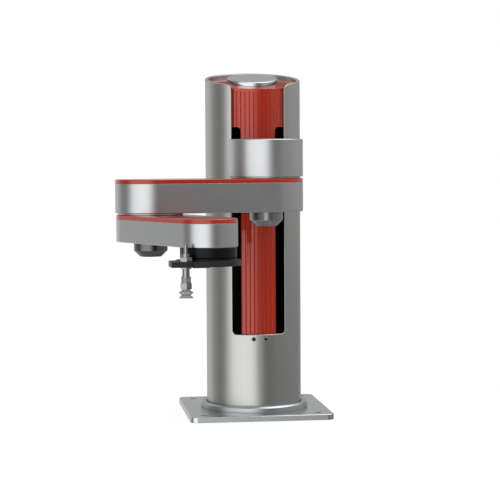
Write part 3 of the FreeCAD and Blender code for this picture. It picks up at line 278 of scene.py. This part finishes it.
# Materials, by name. A cloud of noise mottles colour and roughness, and a fine grain lies over it
MATERIALS = {}
CLOUD_SCALE = 45.0
CLOUD_DETAIL = 3.0
CLOUD_SHARE = 0.6
GRAIN_SCALE = 1500.0
GRAIN_SHARE = 0.4
# Values of the noise between which the roughness goes from its least to its most
NOISE_LOW = 0.3
NOISE_HIGH = 0.7
LEAST_ROUGHNESS = 0.02
BUMP_STRENGTH = 0.02
BUMP_DEPTH = 0.00002
EDGE_SAMPLES = 4
SUBSURFACE_SCALE = 0.002
# Width over which a finish changes from one place to the next
CHANGE = 0.001
# Painted shade: the inside of the column is matt black
INSIDE_SHADE_COLOR = 0.004
INSIDE_GRAIN_SCALE = 900.0
INSIDE_ROUGHNESS = (0.6, 0.75)
INSIDE_SPECULAR = 0.12
# Painted shade in the screws' sockets
SOCKET_PAINTED_SHADE = 0.05
SOCKET_CHANGE = 0.0001


def grain(t, coord, scale, detail=2.0, stretch=None):
    if stretch is not None:
        coord = t.add("ShaderNodeMapping", {"Vector": coord, "Scale": stretch}).outputs[0]
    return t.add("ShaderNodeTexNoise", {"Vector": coord, "Scale": scale, "Detail": detail}).outputs["Fac"]


def finish(name, color, roughness, metallic=0.0, tone=0.02, rough_spread=0.02, stretch=None, specular=0.5,
           coat=0.0, coat_roughness=0.1, edge=0.0003, adjust=None, inner=None, subsurface=0.0,
           rougher_below=None):
    """A Principled finish with faintly mottled colour and roughness, a fine grain and softened edges."""
    material, t = new_material(name)
    coord = t.add("ShaderNodeTexCoord").outputs["Object"]
    cloud = grain(t, coord, CLOUD_SCALE, CLOUD_DETAIL)
    fine_grain = grain(t, coord, GRAIN_SCALE, stretch=stretch)
    dark = tuple(c * (1 - tone) for c in color) + (1,)
    light = tuple(min(1, c * (1 + tone)) for c in color) + (1,)
    tint = t.mix_colors(cloud, dark, light)
    if adjust is not None:
        tint = adjust(t, coord, tint)
    spread = t.plus(t.times(cloud, CLOUD_SHARE), t.times(fine_grain, GRAIN_SHARE))
    smoothest = max(LEAST_ROUGHNESS, roughness - rough_spread)
    rough = t.ramp(spread, NOISE_LOW, NOISE_HIGH, smoothest, roughness + rough_spread)
    if rougher_below is not None:
        height, more = rougher_below
        rough = t.plus(rough, t.ramp(t.axes(coord)["Z"], height, height + CHANGE, more, 0.0))
    soft_edge = t.add("ShaderNodeBevel", {"Radius": edge}, samples=EDGE_SAMPLES)
    relief = t.add("ShaderNodeBump", {"Strength": BUMP_STRENGTH, "Distance": BUMP_DEPTH, "Height": fine_grain,
                                      "Normal": soft_edge.outputs[0]})
    shader = t.add("ShaderNodeBsdfPrincipled", {
        "Base Color": tint, "Roughness": rough, "Metallic": metallic, "Specular IOR Level": specular,
        "Coat Weight": coat, "Coat Roughness": coat_roughness, "Normal": relief.outputs[0]})
    if subsurface:
        shader.inputs["Subsurface Weight"].default_value = subsurface
        shader.inputs["Subsurface Scale"].default_value = SUBSURFACE_SCALE
    surface = shader.outputs[0]
    if inner is not None:
        surface = inner(t, coord, surface)
    t.add("ShaderNodeOutputMaterial", {"Surface": surface})
    material.diffuse_color = color + (1,)
    MATERIALS[name] = material


def painted_inside_shade(radius, top):
    """Painted shade: within a radius from the column's axis and up to a height, the metal is matt black."""

    def apply(t, coord, outside):
        xyz = t.axes(coord)
        within = t.math("LESS_THAN", t.distance(xyz["X"], xyz["Y"]), radius)
        within = t.times(within, t.math("LESS_THAN", xyz["Z"], top))
        rough = t.ramp(grain(t, coord, INSIDE_GRAIN_SCALE), NOISE_LOW, NOISE_HIGH, *INSIDE_ROUGHNESS)
        inside = t.add("ShaderNodeBsdfPrincipled", {
            "Base Color": grey(INSIDE_SHADE_COLOR), "Roughness": rough, "Specular IOR Level": INSIDE_SPECULAR})
        return t.add("ShaderNodeMixShader", {0: within, 1: outside, 2: inside.outputs[0]}).outputs[0]

    return apply


def changed_along(axis, place, before, after):
    """The colour is multiplied by one number before a place along an axis, and by another beyond it."""

    def apply(t, coord, tint):
        return t.scaled(tint, t.ramp(t.axes(coord)[axis], place, place + CHANGE, before, after))

    return apply


def shaded_sockets(side, height, radius):
    """Painted shade: two round sockets seen along Y, side left and right of the middle at the given height, are
    black.
    """

    def apply(t, coord, tint):
        xyz = t.axes(coord)
        across = t.math("SUBTRACT", t.math("ABSOLUTE", xyz["X"]), side)
        along = t.math("SUBTRACT", xyz["Z"], height)
        away = t.distance(across, along)
        return t.scaled(tint, t.ramp(away, radius, radius + SOCKET_CHANGE, SOCKET_PAINTED_SHADE, 1.0))

    return apply


# Painted shade makes the column black inside this radius and below this height, which leaves its slanted rim bare
BORE_R = 0.0625
BORE_TOP = 0.452
# A height between the foot ring and the top disc, which is smoother than the ring and brightened as painted light
RING_TO_DISC = 0.3
DISC_PAINTED_LIGHT = 1.15
RING_ROUGHER = 0.14
# A place along X between the elbow's boss and the shoulder's, the painted shade that darkens the elbow's boss and
# the painted light that brightens the shoulder's
BOSS_TO_BOSS = -0.08
ELBOW_BOSS_PAINTED_SHADE = 0.62
SHOULDER_BOSS_PAINTED_LIGHT = 1.2
# Above the bracket's top the wrist is darker
BRACKET_TOP = 0.2384
WRIST_DARKER = 0.15
# The screws below the slot: radius of their heads and of the painted shade in their sockets
SCREW_HEAD_R = 0.003
SCREW_SOCKET_R = 0.0026
screws_low, screws_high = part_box("front_screws")
sockets = shaded_sockets(screws_high[0] - SCREW_HEAD_R, (screws_low[2] + screws_high[2]) / 2, SCREW_SOCKET_R)

# The shell's inside is matt black as painted shade
finish("silver_shell", (0.375, 0.378, 0.360), 0.31, metallic=1.0, inner=painted_inside_shade(BORE_R, BORE_TOP))
finish("silver_arm", (0.418, 0.423, 0.430), 0.31, metallic=1.0)
finish("red_plastic", (0.345, 0.016, 0.0), 0.30, metallic=0.15, tone=0.04, specular=0.1, coat=0.85,
       coat_roughness=0.06)
finish("plate_metal", (0.46, 0.473, 0.48), 0.24, metallic=1.0, stretch=(1, 10, 1))
# The top disc's brighter colour is painted light
finish("ring_metal", (0.40, 0.41, 0.415), 0.16, metallic=1.0, rougher_below=(RING_TO_DISC, RING_ROUGHER),
       adjust=changed_along("Z", RING_TO_DISC, 1.0, DISC_PAINTED_LIGHT))
# The elbow's boss is darkened as painted shade and the shoulder's brightened as painted light
finish("boss_grey", (0.20, 0.20, 0.205), 0.28, metallic=1.0,
       adjust=changed_along("X", BOSS_TO_BOSS, ELBOW_BOSS_PAINTED_SHADE, SHOULDER_BOSS_PAINTED_LIGHT))
finish("black_metal", (0.018, 0.018, 0.018), 0.38, specular=0.16,
       adjust=changed_along("Z", BRACKET_TOP, 1.0, WRIST_DARKER))
finish("frame_black", (0.004, 0.004, 0.004), 0.6, specular=0.12)
finish("rail_black", (0.006, 0.006, 0.006), 0.5, specular=0.12)
# The screw heads' sockets are blackened as painted shade
finish("screw_steel", (0.8, 0.8, 0.8), 0.2, metallic=1.0, adjust=sockets)
finish("dark_steel", (0.16, 0.16, 0.165), 0.32, metallic=1.0)
finish("bright_steel", (0.5, 0.5, 0.5), 0.22, metallic=1.0)
finish("nickel", (0.245, 0.245, 0.24), 0.12, metallic=1.0, rough_spread=0.015, edge=0.0002)
finish("motor_black", (0.02, 0.02, 0.02), 0.42)
finish("motor_alu", (0.3, 0.3, 0.31), 0.36, metallic=1.0)
finish("board_green", (0.02, 0.1, 0.04), 0.36)
finish("belt_rubber", (0.02, 0.02, 0.02), 0.65)
finish("cup_rubber", (0.30, 0.30, 0.30), 0.38, subsurface=0.15)
finish("socket_black", (0.02, 0.02, 0.02), 0.45)
for name, obj in nodes.items():
    obj.data.materials.clear()
    obj.data.materials.append(MATERIALS[slot_of[name]])

# Edges sharper than SHARP_DEG are rounded, and a rounded piece is shaded smooth up to ROUNDED_SMOOTH_DEG
SHARP_DEG = 28.0
ROUNDED_SMOOTH_DEG = 46.0
MERGE_DISTANCE = 0.000002
FLAT_DEG = 0.5
ROUNDING_SEGMENTS = 3
ROUND_PROFILE = 0.5
# A run of sharp edges with an edge shorter than this many widths is left sharp
FINE_WIDTHS = 1.2
# Weight of the larger faces in the shading
FACE_WEIGHT = 80
# The shell is rounded from the slot's foot upwards, and the holes below it keep their edges
SLOT_FOOT = 0.115
SHELL_EDGE = 0.0014
SPRING_EDGE = 0.00005
SCREW_HEAD_EDGE = 0.0005
EDGES = {
    "column_cover": 0.0003,
    "cap_disc": 0.0003,
    "base_plate": 0.0003,
    "foot_ring": 0.0004,
    "drum_housing": 0.0003,
    "upper_arm_housing": 0.0004,
    "upper_arm_cover": 0.0004,
    "forearm_housing": 0.0004,
    "forearm_cover": 0.0004,
    "shoulder_boss": 0.0004,
    "elbow_boss": 0.0004,
    "wrist_body": 0.0003,
    "output_flange": 0.0003,
    "tool_bracket": 0.0003,
}
# Pieces whose fine inner corners keep their edges
HOLLOW = ("drum_housing", "upper_arm_housing", "upper_arm_cover", "forearm_housing", "forearm_cover")


def smooth_by_angle(mesh, degrees=SHARP_DEG):
    mesh.shade_smooth()
    mesh.set_sharp_from_angle(angle=math.radians(degrees))


def clean_mesh(source):
    mesh = source.data.copy()
    if mesh.has_custom_normals:
        mesh.attributes.remove(mesh.attributes["custom_normal"])
    return mesh


def without_fine_runs(edges, shortest):
    """The edges without every connected run of them that holds an edge shorter than the given length."""
    waiting = set(edges)
    fine = set()
    for first in edges:
        if first not in waiting:
            continue
        waiting.remove(first)
        run = [first]
        # the run grows while it is walked along
        for edge in run:
            for near in (other for vert in edge.verts for other in vert.link_edges):
                if near in waiting:
                    waiting.remove(near)
                    run.append(near)
        if min(edge.calc_length() for edge in run) < shortest:
            fine.update(run)
    return [edge for edge in edges if edge not in fine]


def rounded(node, width, above=-1.0, leave_fine=False):
    """Copy of a CAD node's mesh in a new piece, its sharp edges above a height rounded by the given width.

    With leave_fine, inner corners finer than the rounding keep their edges.
    """
    source = nodes[node]
    mesh = clean_mesh(source)
    mesh.name = node + "_skin"
    bm = bmesh.new()
    bm.from_mesh(mesh)
    bmesh.ops.remove_doubles(bm, verts=bm.verts, dist=MERGE_DISTANCE)
    bmesh.ops.dissolve_limit(bm, angle_limit=math.radians(FLAT_DEG), verts=bm.verts, edges=bm.edges)
    sharp = []
    for edge in bm.edges:
        low = min(vert.co.z for vert in edge.verts)
        if len(edge.link_faces) == 2 and low > above and edge.calc_face_angle(0) > math.radians(SHARP_DEG):
            sharp.append(edge)
    if leave_fine:
        sharp = without_fine_runs(sharp, FINE_WIDTHS * width)
    bmesh.ops.bevel(bm, geom=sharp, offset=width, offset_type="OFFSET", segments=ROUNDING_SEGMENTS,
                    profile=ROUND_PROFILE, affect="EDGES", clamp_overlap=False)
    bm.to_mesh(mesh)
    bm.free()
    smooth_by_angle(mesh, ROUNDED_SMOOTH_DEG)
    piece = bpy.data.objects.new(node + "_skin", mesh)
    scene.collection.objects.link(piece)
    piece.matrix_world = source.matrix_world
    weighted = piece.modifiers.new("even_shading", "WEIGHTED_NORMAL")
    weighted.keep_sharp = True
    weighted.weight = FACE_WEIGHT
    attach(piece, body_of[node])
    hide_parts(node)
    return piece


def squeezed_spring():
    """The rod's spring, with rounded edges, on a mesh of its own."""
    spring = rounded("buffer_spring", SPRING_EDGE)
    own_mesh(spring)


# The flat rings under the shoulder's and the elbow's upper housing
TURN_STEPS = 144
SPACER_CLEAR = 0.0003
SPACER_EDGE = 0.0002
SHOULDER_SPACER_R = 0.0456
ELBOW_SPACER_R = 0.0428


def turned(name, outline, center):
    """Solid of revolution about an upright axis through center, from a closed loop of (radius, height)."""
    count = len(outline)
    verts = []
    for i in range(TURN_STEPS):
        angle = 2 * math.pi * i / TURN_STEPS
        verts += [(center[0] + r * math.cos(angle), center[1] + r * math.sin(angle), z) for r, z in outline]
    faces = []
    for i in range(TURN_STEPS):
        here, there = i * count, (i + 1) % TURN_STEPS * count
        for k in range(count):
            n = (k + 1) % count
            faces.append((here + k, there + k, there + n, here + n))
    mesh = bpy.data.meshes.new(name)
    mesh.from_pydata(verts, [], faces)
    smooth_by_angle(mesh)
    piece = bpy.data.objects.new(name, mesh)
    scene.collection.objects.link(piece)
    return piece


def joint_spacer(name, joint, upper, lower, bearing, radius):
    """Flat aluminium ring under a joint's upper housing. The lid below turns just clear of it."""
    center = next(j["pos_m"] for j in frame["joints"] if j["name"] == joint)
    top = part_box(upper)[0][2]
    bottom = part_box(lower)[1][2] + SPACER_CLEAR
    low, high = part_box(bearing)
    bore = (high[0] - low[0]) / 2 + SPACER_CLEAR
    outline = [(bore, bottom), (radius - SPACER_EDGE, bottom), (radius, bottom + SPACER_EDGE),
               (radius, top - SPACER_EDGE), (radius - SPACER_EDGE, top), (bore, top)]
    piece = turned(name, outline, center)
    piece.data.materials.append(MATERIALS["silver_arm"])
    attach(piece, body_of[upper])


rounded("column_shell", SHELL_EDGE, above=SLOT_FOOT)
for node, width in EDGES.items():
    rounded(node, width, leave_fine=node in HOLLOW)
squeezed_spring()
rounded("front_screws", SCREW_HEAD_EDGE).data.materials[0] = MATERIALS["screw_steel"]
joint_spacer("shoulder_spacer", "shoulder", "drum_housing", "upper_arm_cover", "shoulder_bearing",
             SHOULDER_SPACER_R)
joint_spacer("elbow_spacer", "elbow", "upper_arm_housing", "forearm_cover", "elbow_bearing", ELBOW_SPACER_R)
